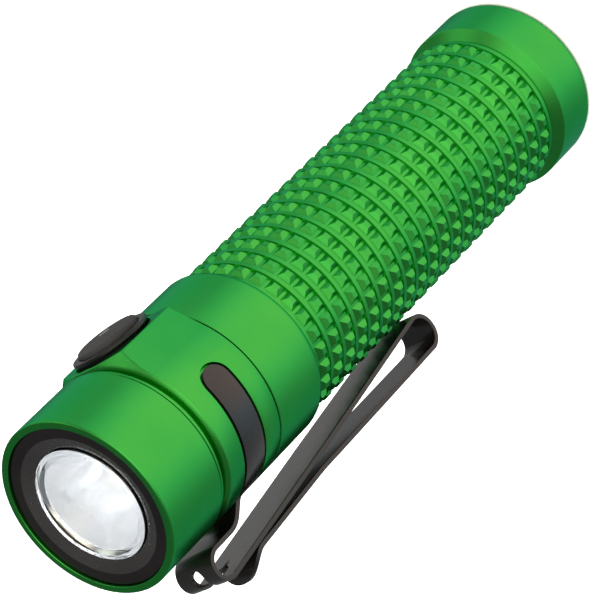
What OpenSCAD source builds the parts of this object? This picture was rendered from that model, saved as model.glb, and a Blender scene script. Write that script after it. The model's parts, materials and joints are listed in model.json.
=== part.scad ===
// Compact pocket flashlight with a side switch and a folded two-way clip.
// Millimetres. The tail's end face is z = 0 and +Z runs from the tail to the lens.
// The button faces -Y and the clip lies along +Y.

/* [Cell] */
// Diameter of the wrapped cell
cell_d = 18.4; // [15.3:0.1:22.1]
// Length of the cell with its raised contact
cell_len = 66.5; // [55:0.5:80]
// Gap between the cell and the bores round it
cell_gap = 0.2; // [0.1:0.05:0.4]
// Height of the raised contact
cell_cap_h = 1.6; // [1.2:0.1:2]
// Diameter of the raised contact
cell_cap_d = 6.4; // [5:0.1:8]
// Thickness of the foot contact
cell_foot_t = 0.5; // [0.3:0.1:0.8]

/* [Tube] */
// Wall between the bore and the floor of the knurl
tube_wall = 0.8; // [0.6:0.05:1.2]
// Height of a knurl pyramid
knurl_h = 0.7; // [0.5:0.05:0.8]
// Rows of pyramids along the tube
knurl_rows = 20; // [16:1:24]
// Flat floor between two rows
knurl_floor = 0.75; // [0.5:0.05:0.9]
// Length over which a pyramid's flank rises
knurl_run = 0.8; // [0.6:0.05:0.9]
// Length of the smooth band behind the head, with its round shoulder
band_len = 9.75; // [8.2:0.05:12]
// Wall of the smooth band outside the head's thread
band_wall = 0.95; // [0.7:0.05:1.4]

/* [Head] */
// Wall of the threaded neck
neck_wall = 1.1; // [0.95:0.05:1.4]
// Length of the threaded neck
neck_len = 5; // [4.6:0.1:6.5]
// Pitch of the neck's thread
thread_pitch = 1; // [0.8:0.1:1.2]
// Depth of the neck's thread
thread_depth = 0.35; // [0.2:0.05:0.45]
// Radial gap in a thread
thread_gap = 0.05; // [0.03:0.01:0.1]
// Radial depth of the groove in front of the button
groove_depth = 1.1; // [0.8:0.1:1.3]
// Length of the narrow land in front of the groove
land_len = 0.6; // [0.4:0.05:0.9]
// Step of the land below the head's outside
land_sink = 0.2; // [0.1:0.05:0.4]
// Wall of the spigot that the bezel screws onto
spigot_wall = 0.8; // [0.6:0.05:1]
// Length of that spigot
spigot_len = 3.8; // [3:0.1:5]
// Length of the bezel
bezel_len = 10.1; // [9:0.1:13]
// Open line at the bezel's and the tube's seams
seam_gap = 0.1; // [0.05:0.01:0.2]

/* [Lens and ring] */
// Width of the bezel's rim
rim_w = 0.95; // [0.8:0.05:1.2]
// Rounding of the rim's outer edge
rim_round = 0.6; // [0.3:0.05:0.65]
// Height of the rim above the black ring
rim_lip = 0.4; // [0.2:0.05:0.6]
// Width of the ring's flat face
trim_flat_w = 1.5; // [1.2:0.05:1.9]
// Width of the ring's sloped face
trim_slope_w = 1.65; // [1.3:0.05:2]
// Drop of the sloped face
trim_drop = 0.6; // [0.4:0.05:0.8]
// Thickness of the ring
trim_t = 1.5; // [1.3:0.05:1.8]
// Depth of the lens face below the ring
lens_drop = 0.3; // [0.1:0.05:0.5]
// Thickness of the lens flange
lens_flange_t = 1.1; // [0.9:0.05:1.4]
// Section diameter of the lens seal
lens_seal_d = 0.84; // [0.7:0.02:1]

/* [Light source] */
// Thickness of the web that carries the light source
web_t = 1.6; // [1.3:0.1:2]
// Thickness of the metal-core board
led_board_t = 1.1; // [0.9:0.1:1.4]
// Side of the emitter
led_side = 3.5; // [2.9:0.1:4.2]
// Thickness of the emitter's base
led_base_t = 0.6; // [0.5:0.05:0.75]
// Radius of the emitter's dome
led_dome_r = 1.5; // [1.2:0.05:1.6]
// Diameter of the board screws
led_screw_d = 1.5; // [1.2:0.1:1.8]
// Diameter of a lead
lead_d = 1; // [0.8:0.1:1.2]

/* [Switch] */
// Diameter of the button
button_d = 8; // [6.6:0.1:9.6]
// Width of the black ring round the button
button_ring_w = 0.98; // [0.8:0.02:1.2]
// Gap round the button
button_gap = 0.1; // [0.08:0.01:0.2]
// Travel of the button
button_travel = 0.4; // [0.3:0.05:0.5]
// Height of the ring above the flat
button_ring_rise = 0.85; // [0.6:0.05:1.05]
// Height of the button's side above the ring
button_rise = 0.55; // [0.45:0.05:0.8]
// Height of the button's crown above its side
button_crown = 0.4; // [0.3:0.05:0.5]
// Diameter of the indicator window
window_d = 1.6; // [1.2:0.1:2]
// Metal left between the ring and the ends of the switch section
switch_margin = 0.25; // [0.2:0.05:1]
// Metal left between the ring and the sides of the flat
flat_margin = 0.45; // [0.2:0.05:0.6]
// Depth of the flat below the head's outside
flat_sink = 0.2; // [0.1:0.05:0.3]
// Side of the tact switch
tact_side = 4.5; // [3.8:0.1:5.4]
// Height of the tact switch
tact_h = 1.5; // [1.2:0.1:1.8]

/* [Driver] */
// Thickness of the driver board
driver_t = 1.2; // [1:0.1:1.6]
// Height of the contact that meets the cell
contact_h = 1.5; // [1.3:0.1:2]
// Gap between that contact and the cell
contact_gap = 0.1; // [0.05:0.01:0.2]
// Width of the ring that holds the driver
retainer_w = 1.6; // [1.2:0.1:2]
// Height of that ring
retainer_h = 1.2; // [0.9:0.1:1.2]

/* [Clip] */
// Thickness of the clip's strip
clip_t = 0.55; // [0.45:0.05:0.66]
// Width of the strip at the front
clip_w = 6.6; // [5.5:0.1:7.9]
// Width of the strip at the rear loop
clip_tail_w = 5.6; // [4.7:0.1:6.6]
// Length of the clip from front bend to rear loop
clip_len = 51; // [46:0.5:56]
// Length from the collar's middle to the front bend
clip_reach = 10.05; // [9.2:0.05:11]
// Length from the front bend back to where the outer blade starts to lean out
clip_lean_far = 22.3; // [20:0.1:24]
// Length from the front bend back to where the lip starts to flare
clip_pinch_far = 8.1; // [7:0.1:9]
// Height of the neck's middle above the head
clip_neck_rise = 1.5; // [1.2:0.05:2]
// Mean radius of the front bend
clip_bend_r = 2.025; // [1.7:0.025:2.3]
// Mean radius of the rear loop
clip_loop_r = 2.1; // [1.8:0.05:2.3]
// Gap between the blade and the knurl
clip_gap = 0.3; // [0.2:0.05:0.5]
// Gap between the two blades where they come close
clip_pinch_gap = 0.12; // [0.11:0.01:0.3]
// Angle through which the lip flares
lip_turn = 72; // [60:1:80]
// Mean radius of the lip's flare
lip_bend_r = 3.4; // [2.9:0.1:4]
// Rounding of the lip's corners, as a share of half its width
lip_round_share = 0.8; // [0.5:0.05:0.95]
// Width of the lanyard slot
slot_w = 2.1; // [1.8:0.1:2.6]
// Width of the collar
collar_w = 3.8; // [3.2:0.1:4.6]
// Gap round the collar in its slot
collar_gap = 0.35; // [0.2:0.05:0.5]
// Angle from the clip to the middle of each round end of the collar
collar_reach = 102.5; // [85:0.5:108]

/* [Tail] */
// Wall of the tail cap round the tube's thread
cap_wall = 1.55; // [1.2:0.05:2]
// Length of the tail cap's cylinder
cap_len = 6.9; // [6.2:0.1:9]
// Length of the flare in front of it
flare_len = 1; // [0.8:0.1:1.6]
// Rounding of the tail's edge
tail_round = 0.7; // [0.4:0.05:1]
// Step from the knurl's floor down to the tail thread
tail_step = 0.2; // [0.15:0.05:0.25]
// Height of the spring under the cell
spring_h = 4.7; // [4:0.1:6]
// Wire diameter of the spring
spring_wire_d = 0.8; // [0.6:0.05:0.85]
// Mean diameter of the spring
spring_d = 12; // [10:0.1:14]
// Turns of the spring
spring_turns = 3; // [2:1:3]
// Thickness of the magnet
magnet_t = 2; // [1.6:0.1:2.3]
// Thickness of the tail board
tail_board_t = 1; // [0.8:0.1:1.2]
// Diameter of the outer charging contact
charge_ring_d = 14.8; // [12.4:0.1:16]
// Diameter of the plastic ring in the charging contacts
charge_insulator_d = 6.8; // [5.8:0.1:8]
// Diameter of the centre charging contact
charge_center_d = 4.4; // [3.7:0.1:5]
// Thickness of the charging contacts
charge_t = 1; // [0.8:0.1:1.2]

/* [Hidden] */
$fn = 96;

// Small gaps and edges that several pieces share
slip = 0.1;
snug = 0.03;
edge = 0.15;
past = 1;

// Radii, from the cell outwards
cell_r = cell_d / 2;
bore_r = cell_r + cell_gap;
neck_r = bore_r + neck_wall;
socket_r = neck_r + thread_gap;
head_r = socket_r + band_wall;
root_r = bore_r + tube_wall;
peak_r = root_r + knurl_h;
tail_neck_r = root_r - tail_step;
cap_bore_r = tail_neck_r + thread_gap;
tail_r = cap_bore_r + cap_wall;
valley_r = head_r - groove_depth;
land_r = head_r - land_sink;
spigot_r = bore_r + spigot_wall;
bezel_bore_r = spigot_r + thread_gap;

// Heights in the tail, from the end face upwards
cap_web_t = 0.6;
z_magnet = charge_t + cap_web_t;
z_tail_board = z_magnet + magnet_t + slip;
z_tube = z_tail_board + tail_board_t;
z_cap = cap_len + flare_len;
z_cell = z_tube + spring_h;
z_cell_top = z_cell + cell_len;
z_contact = z_cell_top + contact_gap;

// Heights in the tube and the head
contact_rise = 0.15;
z_seam = z_contact - contact_rise;
z_tube_end = z_seam - seam_gap;
knurl_lead = 0.85;
z_knurl = z_cap + knurl_lead;
z_band = z_seam - band_len;
shoulder_r = head_r - root_r;
z_knurl_end = z_band - knurl_floor / 2;
knurl_pitch = (z_knurl_end - z_knurl) / knurl_rows;
button_ring_r = button_d / 2 + button_gap + button_ring_w;
switch_len = 2 * (button_ring_r + switch_margin);
z_mid = z_seam + switch_len / 2;
z_cone = z_seam + switch_len;
z_valley = z_cone + groove_depth;
z_land = z_valley + land_len;
z_bezel = z_land + seam_gap;
z_spigot = z_land + spigot_len;
z_rim = z_bezel + bezel_len;
z_trim = z_rim - rim_lip;
z_pocket = z_trim - trim_t;
web_below_valley = 0.8;
z_led_board = z_valley - web_below_valley;
z_web = z_led_board - web_t;
z_led = z_led_board + led_board_t;
z_driver = z_contact + contact_h;
z_driver_top = z_driver + driver_t;

// The lens and what holds it
trim_r = head_r - rim_w;
trim_slope_r = trim_r - trim_flat_w;
lens_r = trim_slope_r - trim_slope_w;
trim_shoulder = 0.75;
bezel_mid_r = trim_r - trim_shoulder;
lens_flange_r = bezel_mid_r - lens_seal_d - 2 * snug;
z_flange = z_pocket - lens_flange_t - snug;
lens_foot_r = 2.6;
lens_foot_gap = 0.45;
z_lens_foot = z_led + led_base_t + lens_foot_gap;
lens_cone_r = (lens_r + lens_flange_r) / 2;
lens_recess_h = 2.2;

// The switch, by distance from the tube's axis
seat_wall = 0.5;
stop_gap = 0.05;
button_flange_t = 0.35;
button_flange_w = 0.6;
stem_r = 2;
flat_d = head_r - flat_sink;
flat_half_w = button_ring_r + flat_margin;
seat_d = bore_r + seat_wall;
button_flange_d = seat_d + button_travel + stop_gap;
button_ring_d = button_flange_d + button_flange_t + stop_gap;
button_ring_top = flat_d + button_ring_rise;
button_side_top = button_ring_top + button_rise;
button_top = button_side_top + button_crown;
stem_d = bore_r + slip;
plunger_rise = 0.75;
plunger_depth = 0.4;
plunger_r = 0.9;
tact_d = stem_d - plunger_rise - tact_h;
switch_board_t = 0.8;
switch_board_half_w = 4;

// The clip's strip runs through these points, each [distance from the axis, height]
collar_shift = 0.1;
z_collar = z_mid + collar_shift;
collar_end_y = head_r * cos(collar_reach);
foot_lift = 0.1;
clip_foot_r = head_r - clip_t / 2 + foot_lift;
clip_neck_y = head_r + clip_neck_rise;
clip_top_y = clip_neck_y + 2 * clip_bend_r;
clip_foot_y = peak_r + clip_gap + clip_t / 2;
clip_close = clip_t + clip_pinch_gap;
clip_front_z = z_collar + clip_reach;
clip_rear_z = clip_front_z - clip_len;
neck_start = 0.8;
neck_slope_len = 2.9;
neck_foot = [clip_foot_r, z_collar + neck_start];
neck_knee = [clip_neck_y, neck_foot[1] + neck_slope_len];
front_low = [clip_neck_y, clip_front_z];
front_high = [clip_top_y, clip_front_z];
front_split = [clip_neck_y + clip_bend_r, clip_front_z];
split_lead = 0.1;
rear_sink = 0.2;
rear_low = [clip_foot_y - rear_sink, clip_rear_z];
blade_fall = clip_top_y - rear_low[0];
blade_half = atan2(clip_len, blade_fall) / 2;
function blade_y(z) = clip_top_y - blade_fall * (clip_front_z - z) / clip_len;
neck_turn_r = clip_bend_r - split_lead;
blade_bend_r = neck_turn_r * tan(blade_half);
rear_split = rear_low + [clip_loop_r / tan(blade_half) + split_lead, 0];
rear_high = rear_split + [split_lead + clip_loop_r, 0];
lean = [rear_high[0], clip_front_z - clip_lean_far];
pinch = [blade_y(clip_front_z - clip_pinch_far) + clip_close, clip_front_z - clip_pinch_far];
lip_angle = atan2(pinch[0] - lean[0], pinch[1] - lean[1]) + lip_turn;
lip_reach = lip_bend_r * tan(lip_turn / 2);
lip_straight = 0.1;
lip_knee = pinch + lip_reach * unit(pinch - lean);
lip_tip = lip_knee + (lip_reach + lip_straight) * [sin(lip_angle), cos(lip_angle)];
clip_lip_round = lip_round_share * clip_w / 2;
lip_end_y = lip_tip[0] + clip_t / 2 * cos(lip_angle);
neck_foot_r = 1.4;
neck_knee_r = 5;
lean_r = 30;
slot_below_split = 0.95;
slot_back = 3.2;
slot_low_y = front_split[0] - slot_below_split;
slot_rear_z = clip_front_z - slot_back;
clip_clear_z = clip_front_z + 2 * clip_w;

// Colours
GREEN = [0.12, 0.62, 0.26];
STEEL = [0.24, 0.23, 0.23];
BLACK = [0.12, 0.11, 0.11];
DARK_GREY = [0.29, 0.28, 0.29];
CLEAR = [0.87, 0.88, 0.89];
BRASS = [0.80, 0.65, 0.30];
NICKEL = [0.72, 0.72, 0.70];
BOARD = [0.10, 0.28, 0.18];
RUBBER = [0.08, 0.08, 0.08];
COPPER = [0.75, 0.45, 0.30];
WRAP = [0.16, 0.20, 0.30];

// Points of an arc, from angle a to angle b
function arc(c, r, a, b, steps = 6) =
  [for (i = [0:steps]) c + r * [cos(a + (b - a) * i / steps), sin(a + (b - a) * i / steps)]];

function unit(v) = v / norm(v);

// Points of a bend of radius r at corner p, coming from a and going to b
function bend(a, p, b, r, steps = 10) =
  let (u = unit(a - p), v = unit(b - p))
  let (half = acos(u * v) / 2)
  let (c = p + unit(u + v) * r / sin(half))
  let (from = p + u * r / tan(half) - c)
  let (start = atan2(from[1], from[0]))
  let (side = u[0] * v[1] - u[1] * v[0] > 0 ? -1 : 1)
  arc(c, r, start, start + side * (180 - 2 * half), steps);

// Unit normal of a path at point i
function path_normal(path, i) =
  let (last = len(path) - 1)
  let (d = unit(path[min(i + 1, last)] - path[max(i - 1, 0)]))
  [-d[1], d[0]];

// Outline of a strip of thickness t that follows a path
function strip_outline(path, t) = concat(
  [for (i = [0:len(path) - 1]) path[i] + path_normal(path, i) * t / 2],
  [for (i = [len(path) - 1:-1:0]) path[i] - path_normal(path, i) * t / 2]
);

// Ridges of a thread, as points from height a upwards; a ridge covers most of a pitch
ridge_share = 0.98;
function thread_ridges(r, a, count) =
  [for (i = [0:count - 1], k = [0:2])
    [r - (k == 1 ? 0 : thread_depth), a + (i + k / 2 * ridge_share) * thread_pitch]];

// One row of the knurl after another, as points
function knurl_ridges() =
  [for (i = [0:knurl_rows - 1], k = [0:3])
    let (low = z_knurl + i * knurl_pitch + knurl_floor / 2)
    let (high = low + knurl_pitch - knurl_floor)
    k == 0 ? [root_r, low]
    : k == 1 ? [peak_r, low + knurl_run]
    : k == 2 ? [peak_r, high - knurl_run]
    : [root_r, high]];

module turned(points) rotate_extrude() polygon(points);

module ring(r_out, r_in, low, high)
  rotate_extrude() translate([r_in, low]) square([r_out - r_in, high - low]);

module disc(r, low, high) translate([0, 0, low]) cylinder(r = r, h = high - low);

module torus(r, section_r, z) rotate_extrude() translate([r, z]) circle(r = section_r);

// Stands its children on the button's axis, with their z pointing out of the flat
module on_button_axis() translate([0, 0, z_mid]) rotate([90, 0, 0]) children();

// A strip of the clip, cut to the clip's plan
module clip_strip(path) intersection() {
  rotate([90, 0, 90])
    linear_extrude(clip_w, center = true)
      polygon(strip_outline(path, clip_t));
  rotate([90, 0, 180])
    linear_extrude(lip_end_y + past)
      clip_plan();
}

// The strip seen from outside: it tapers towards the rear loop
module clip_plan() polygon([
  [-clip_tail_w / 2, clip_rear_z - past],
  [clip_tail_w / 2, clip_rear_z - past],
  [clip_w / 2, clip_front_z - clip_len / 2],
  [clip_w / 2, clip_clear_z],
  [-clip_w / 2, clip_clear_z],
  [-clip_w / 2, clip_front_z - clip_len / 2]
]);

// The outer blade seen from the front: the lip's corners are round
module lip_plan() {
  inset = clip_w / 2 - clip_lip_round;
  corner_y = lip_end_y - clip_lip_round;
  polygon(concat(
    [[-clip_w / 2, 0], [clip_w / 2, 0]],
    arc([inset, corner_y], clip_lip_round, 0, 90, 10),
    arc([-inset, corner_y], clip_lip_round, 90, 180, 10)
  ));
}

// The slot for a lanyard: a round end in the front bend, and another back on the blade
module lanyard_cut() {
  r = slot_w / 2;
  front_y = slot_low_y + r;
  translate([0, 0, clip_front_z - clip_bend_r])
    linear_extrude(clip_w)
      polygon(concat(arc([0, front_y], r, 180, 360, 12), [[r, front_y + past], [-r, front_y + past]]));
  translate([0, front_y, 0])
    rotate([90, 0, 180])
      linear_extrude(clip_top_y - front_y + past)
        polygon(concat(arc([0, slot_rear_z], r, 180, 360, 12), [[r, clip_clear_z], [-r, clip_clear_z]]));
}

// Places its children at the two board screws
screw_head_h = 0.9;
screw_inset = 1.6;
screw_x = bore_r - led_screw_d - screw_inset;
module at_screws() for (side = [-1, 1]) translate([side * screw_x, 0, 0]) children();

// Places its children at the two leads
lead_x = 2.5;
lead_y = bore_r / 2;
module at_leads() for (side = [-1, 1]) translate([side * lead_x, lead_y, 0]) children();

// Outline of the switch section: a circle with a flat that stands out as far as its corners
module switch_outline() {
  corner_r = norm([flat_half_w, flat_d]);
  corner_a = atan2(flat_half_w, flat_d);
  touch_a = corner_a + acos(head_r / corner_r);
  circle(r = head_r);
  polygon([
    [0, 0],
    head_r * [-sin(touch_a), -cos(touch_a)],
    [-flat_half_w, -flat_d],
    [flat_half_w, -flat_d],
    head_r * [sin(touch_a), -cos(touch_a)]
  ]);
}

module bezel() color(GREEN) turned(concat(
  [[bezel_bore_r, z_bezel], [head_r - edge, z_bezel], [head_r, z_bezel + edge]],
  arc([head_r - rim_round, z_rim - rim_round], rim_round, 0, 90),
  arc([trim_r + edge, z_rim - edge], edge, 90, 180, 3),
  [[trim_r, z_pocket], [bezel_mid_r, z_pocket]],
  [[bezel_mid_r, z_spigot], [bezel_bore_r, z_spigot]]
));

module trim_ring() color(BLACK) turned([
  [trim_r - snug, z_pocket],
  [trim_r - snug, z_trim],
  [trim_slope_r, z_trim],
  [lens_r + slip, z_trim - trim_drop],
  [lens_r + slip, z_pocket]
]);

module tir_lens() color(CLEAR) turned(concat(
  [[0, z_lens_foot + lens_recess_h], [led_dome_r + slip, z_lens_foot + lens_recess_h]],
  [[led_dome_r + slip, z_lens_foot], [lens_foot_r, z_lens_foot]],
  [[lens_cone_r, z_flange], [lens_flange_r, z_flange]],
  [[lens_flange_r, z_pocket - snug], [lens_r, z_pocket - snug]],
  arc([lens_r - lens_drop, z_trim - 2 * lens_drop], lens_drop, 0, 90),
  [[0, z_trim - lens_drop]]
));

module lens_seal() color(RUBBER)
  torus(bezel_mid_r - lens_seal_d / 2 - snug, lens_seal_d / 2, z_flange + lens_flange_t / 2);

module optic_holder() color(BLACK) difference() {
  clear = 3 * slip;
  turned([
    [lens_foot_r + clear, z_led],
    [bore_r - slip, z_led],
    [bore_r - slip, z_flange - snug],
    [lens_cone_r + clear, z_flange - snug],
    [lens_foot_r + clear, z_lens_foot]
  ]);
  at_screws() disc(led_screw_d + slip, z_led - past, z_led + screw_head_h + 2 * slip);
}

module led_emitter() color(CLEAR) {
  translate([-led_side / 2, -led_side / 2, z_led]) cube([led_side, led_side, led_base_t]);
  turned(concat([[0, z_led]], arc([0, z_led + led_base_t], led_dome_r, 0, 90)));
}

module led_board() color(NICKEL) difference() {
  disc(bore_r - 2 * slip, z_led_board, z_led);
  at_screws() disc(led_screw_d / 2 + slip, z_led_board - past, z_led + past);
}

module led_board_screws() color(STEEL) at_screws() {
  disc(led_screw_d / 2, z_web + slip, z_led + slip);
  disc(led_screw_d - slip, z_led, z_led + screw_head_h);
}

module led_leads() color(COPPER) at_leads() disc(lead_d / 2, z_driver_top, z_led_board);

// The head: threaded neck, switch section, groove, land and spigot
module head_body() color(GREEN) difference() {
  union() {
    intersection() {
      translate([0, 0, z_seam]) linear_extrude(z_valley - z_seam) switch_outline();
      turned([
        [0, z_seam],
        [head_r + groove_depth - edge, z_seam],
        [head_r + groove_depth, z_seam + edge],
        [head_r + groove_depth, z_cone - groove_depth],
        [valley_r, z_valley],
        [0, z_valley]
      ]);
    }
    turned([
      [0, z_valley],
      [valley_r, z_valley],
      [land_r, z_valley + edge],
      [land_r, z_land],
      [spigot_r, z_land],
      [spigot_r, z_spigot],
      [0, z_spigot]
    ]);
    head_neck();
  }
  disc(bore_r, z_seam - neck_len - past, z_web);
  disc(bore_r, z_led_board, z_spigot + past);
  on_button_axis() {
    disc(button_ring_r + snug, seat_d, head_r + past);
    disc(stem_r + button_flange_w, 0, head_r);
  }
  collar_band(head_r + past, head_r - clip_t - snug, collar_w / 2 + collar_gap);
  at_screws() disc(led_screw_d / 2 + snug, z_web - past, z_led_board + past);
  at_leads() disc(lead_d / 2 + 2 * slip, z_web - past, z_led_board + past);
}

// The threaded neck with its seal groove
oring_r = 0.28;
oring_floor_r = neck_r - 2 * oring_r - snug;
oring_drop = 1;
oring_z = z_seam - oring_drop;
neck_plain = 1.8;
module head_neck() {
  ridges = floor((neck_len - neck_plain) / thread_pitch);
  thread_z = z_seam - neck_len + edge;
  groove_half = oring_r + slip;
  turned(concat(
    [[0, z_seam - neck_len], [neck_r - thread_depth, z_seam - neck_len]],
    thread_ridges(neck_r, thread_z, ridges),
    [[neck_r, oring_z - groove_half - edge], [neck_r, oring_z - groove_half]],
    [[oring_floor_r, oring_z - groove_half], [oring_floor_r, oring_z + groove_half]],
    [[neck_r, oring_z + groove_half], [neck_r, z_seam], [0, z_seam]]
  ));
}

module head_oring() color(RUBBER) torus(oring_floor_r + oring_r, oring_r, oring_z);

// A band round the head with round ends, from radius r_in to r_out
module collar_band(r_out, r_in, half_w) intersection() {
  reach = r_out + past;
  ring(r_out, r_in, z_collar - half_w - past, z_collar + half_w + past);
  translate([-reach, 0, z_collar])
    rotate([90, 0, 90])
      linear_extrude(2 * reach)
        polygon(concat(arc([collar_end_y, 0], half_w, 90, 270, 16), [[reach, -half_w], [reach, half_w]]));
}

module driver_board() color(BOARD) disc(bore_r - slip, z_driver, z_driver_top);

module driver_retainer() color(NICKEL)
  ring(bore_r - snug, bore_r - retainer_w, z_driver - retainer_h, z_driver);

module front_contact() color(BRASS) {
  nose = 0.4;
  r = cell_cap_d / 3;
  turned(concat(
    [[0, z_driver], [0, z_contact]],
    arc([r - nose, z_contact + nose], nose, -90, 0),
    [[r, z_driver]]
  ));
}

module button_ring() color(BLACK) on_button_axis() turned([
  [button_d / 2 + button_gap, button_ring_d],
  [button_ring_r, button_ring_d],
  [button_ring_r, button_ring_top - 2 * edge],
  [button_ring_r - 2 * edge, button_ring_top],
  [button_d / 2 + button_gap, button_ring_top]
]);

// Radius of the sphere whose cap crowns the button
crown_half_w = button_d / 2 - edge;
crown_r = (pow(crown_half_w, 2) + pow(button_crown, 2)) / (2 * button_crown);
window_h = 0.8;
module button() color(DARK_GREY) on_button_axis() difference() {
  crown_a = asin(crown_half_w / crown_r);
  turned(concat(
    [[0, stem_d], [stem_r, stem_d], [stem_r, button_flange_d]],
    [[button_d / 2 + button_flange_w, button_flange_d]],
    [[button_d / 2 + button_flange_w, button_flange_d + button_flange_t]],
    [[button_d / 2, button_flange_d + button_flange_t], [button_d / 2, button_side_top - edge]],
    arc([0, button_top - crown_r], crown_r, 90 - crown_a, 90)
  ));
  disc(window_d / 2, button_top - window_h, button_top + past);
}

module indicator_window() color(CLEAR) on_button_axis()
  disc(window_d / 2 - snug, button_top - window_h, button_top - snug);

module tact_switch() color(NICKEL) on_button_axis() difference() {
  translate([-tact_side / 2, -tact_side / 2, tact_d]) cube([tact_side, tact_side, tact_h]);
  disc(plunger_r + slip, tact_d + tact_h - plunger_depth - button_travel - slip, head_r);
}

module tact_plunger() color(BLACK) on_button_axis()
  disc(plunger_r, tact_d + tact_h - plunger_depth, stem_d);

module switch_board() color(BOARD)
  translate([-switch_board_half_w, -tact_d, z_driver_top])
    cube([2 * switch_board_half_w, switch_board_t, z_web - z_driver_top - 3 * slip]);

// The tube: tail thread, knurl, round shoulder, smooth band and the head's socket
tail_oring_r = 0.2;
tail_oring_drop = 1;
tail_oring_z = z_cap - tail_oring_drop;
module battery_tube() color(GREEN) {
  groove_half = tail_oring_r + snug;
  groove_r = tail_neck_r - 2 * tail_oring_r;
  turned(concat(
    [[bore_r, z_tube], [tail_neck_r, z_tube]],
    [[tail_neck_r, tail_oring_z - groove_half], [groove_r, tail_oring_z - groove_half]],
    [[groove_r, tail_oring_z + groove_half], [tail_neck_r, tail_oring_z + groove_half]],
    [[tail_neck_r, z_cap], [root_r, z_cap]],
    knurl_ridges(),
    [[root_r, z_band]],
    arc([head_r - shoulder_r, z_band + shoulder_r], shoulder_r, -90, 0, 8),
    [[head_r, z_tube_end - edge], [head_r - edge, z_tube_end], [socket_r, z_tube_end]],
    [[socket_r, z_seam - neck_len - 2 * slip], [bore_r, z_seam - neck_len - 2 * slip]]
  ));
}

module tail_oring() color(RUBBER) torus(tail_neck_r - tail_oring_r, tail_oring_r - snug / 2, tail_oring_z);

module cell_can() color(WRAP) turned([
  [0, z_cell + cell_foot_t],
  [cell_r - edge, z_cell + cell_foot_t],
  [cell_r, z_cell + cell_foot_t + edge],
  [cell_r, z_cell_top - cell_cap_h - edge],
  [cell_r - edge, z_cell_top - cell_cap_h],
  [0, z_cell_top - cell_cap_h]
]);

module cell_insulator() color(CLEAR) {
  insulator_t = 0.4;
  low = z_cell_top - cell_cap_h;
  ring(cell_r - 3 * edge, cell_cap_d / 2 + 3 * slip, low, low + insulator_t);
}

module cell_positive_cap() color(NICKEL) turned(concat(
  [[0, z_cell_top - cell_cap_h], [cell_cap_d / 2, z_cell_top - cell_cap_h]],
  arc([cell_cap_d / 2 - 2 * edge, z_cell_top - 2 * edge], 2 * edge, 0, 90),
  [[0, z_cell_top]]
));

module cell_negative_plate() color(NICKEL) disc(cell_r - 4 * edge, z_cell, z_cell + cell_foot_t);

// The tail: a cup with a pocket for the charging contacts and one for the magnet
magnet_r = charge_ring_d / 2 - 3 * slip;
magnet_hole_r = 1.8;
shank_r = 1;
module tail_cap() color(GREEN) turned(concat(
  [[charge_ring_d / 2, 0]],
  arc([tail_r - tail_round, tail_round], tail_round, -90, 0),
  [[tail_r, cap_len - edge], [tail_r - edge, cap_len], [root_r, z_cap], [cap_bore_r, z_cap]],
  [[cap_bore_r, z_tail_board], [magnet_r + slip, z_tail_board]],
  [[magnet_r + slip, z_magnet], [charge_insulator_d / 2 + snug, z_magnet]],
  [[charge_insulator_d / 2 + snug, charge_t], [charge_ring_d / 2, charge_t]]
));

module tail_magnet() color(NICKEL) ring(magnet_r, magnet_hole_r, z_magnet, z_magnet + magnet_t);

module tail_board() color(BOARD) ring(cap_bore_r - slip, shank_r + snug, z_tail_board, z_tube);

module charge_outer_ring() color(NICKEL)
  ring(charge_ring_d / 2 - snug, charge_insulator_d / 2 + snug, 0, charge_t);

module charge_insulator() color(BLACK) turned([
  [charge_center_d / 2 + snug, 0],
  [charge_insulator_d / 2, 0],
  [charge_insulator_d / 2, z_magnet],
  [magnet_hole_r - snug, z_magnet],
  [magnet_hole_r - snug, z_tail_board],
  [shank_r + snug, z_tail_board],
  [shank_r + snug, charge_t],
  [charge_center_d / 2 + snug, charge_t]
]);

module charge_center_contact() color(BRASS) {
  disc(charge_center_d / 2, 0, charge_t);
  disc(shank_r, 0, z_tube);
}

// The spring under the cell: one tube wound round the axis
module tail_spring() color(NICKEL) {
  sides = 6;
  per_turn = 24;
  rings = per_turn * spring_turns;
  wire_r = spring_wire_d / 2;
  low = z_tube + wire_r + snug;
  rise = spring_h - spring_wire_d - 2 * snug;
  points = [for (i = [0:rings], k = [0:sides - 1])
    let (turn = 360 * i / per_turn, a = 360 * k / sides + 30)
    let (r = spring_d / 2 + wire_r * cos(a))
    [r * cos(turn), r * sin(turn), low + rise * i / rings + wire_r * sin(a)]];
  around = [for (i = [0:rings - 1], k = [0:sides - 1], half = [0, 1])
    let (a = i * sides + k, b = i * sides + (k + 1) % sides)
    half == 0 ? [a, a + sides, b] : [b, a + sides, b + sides]];
  tip = rings * sides;
  start = [for (k = [1:sides - 2]) [0, k, k + 1]];
  end = [for (k = [1:sides - 2]) [tip, tip + k + 1, tip + k]];
  polyhedron(points, concat(around, start, end));
}

// The collar, and the neck that rises from it to the middle of the front bend
module clip_collar() color(STEEL) difference() {
  union() {
    collar_band(head_r, head_r - clip_t, collar_w / 2);
    clip_strip(concat(
      [[clip_foot_r, z_collar - collar_w / 4]],
      bend([clip_foot_r, z_collar], neck_foot, neck_knee, neck_foot_r),
      bend(neck_foot, neck_knee, front_low, neck_knee_r),
      bend(neck_knee, front_low, front_high, neck_turn_r),
      [front_split]
    ));
  }
  lanyard_cut();
}

// The blade, from the middle of the front bend to the middle of the rear loop
module clip_blade() color(STEEL) difference() {
  clip_strip(concat(
    [front_split],
    bend(front_low, front_high, rear_low, blade_bend_r),
    bend(front_high, rear_low, rear_high, clip_loop_r),
    [rear_split]
  ));
  lanyard_cut();
}

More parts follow.
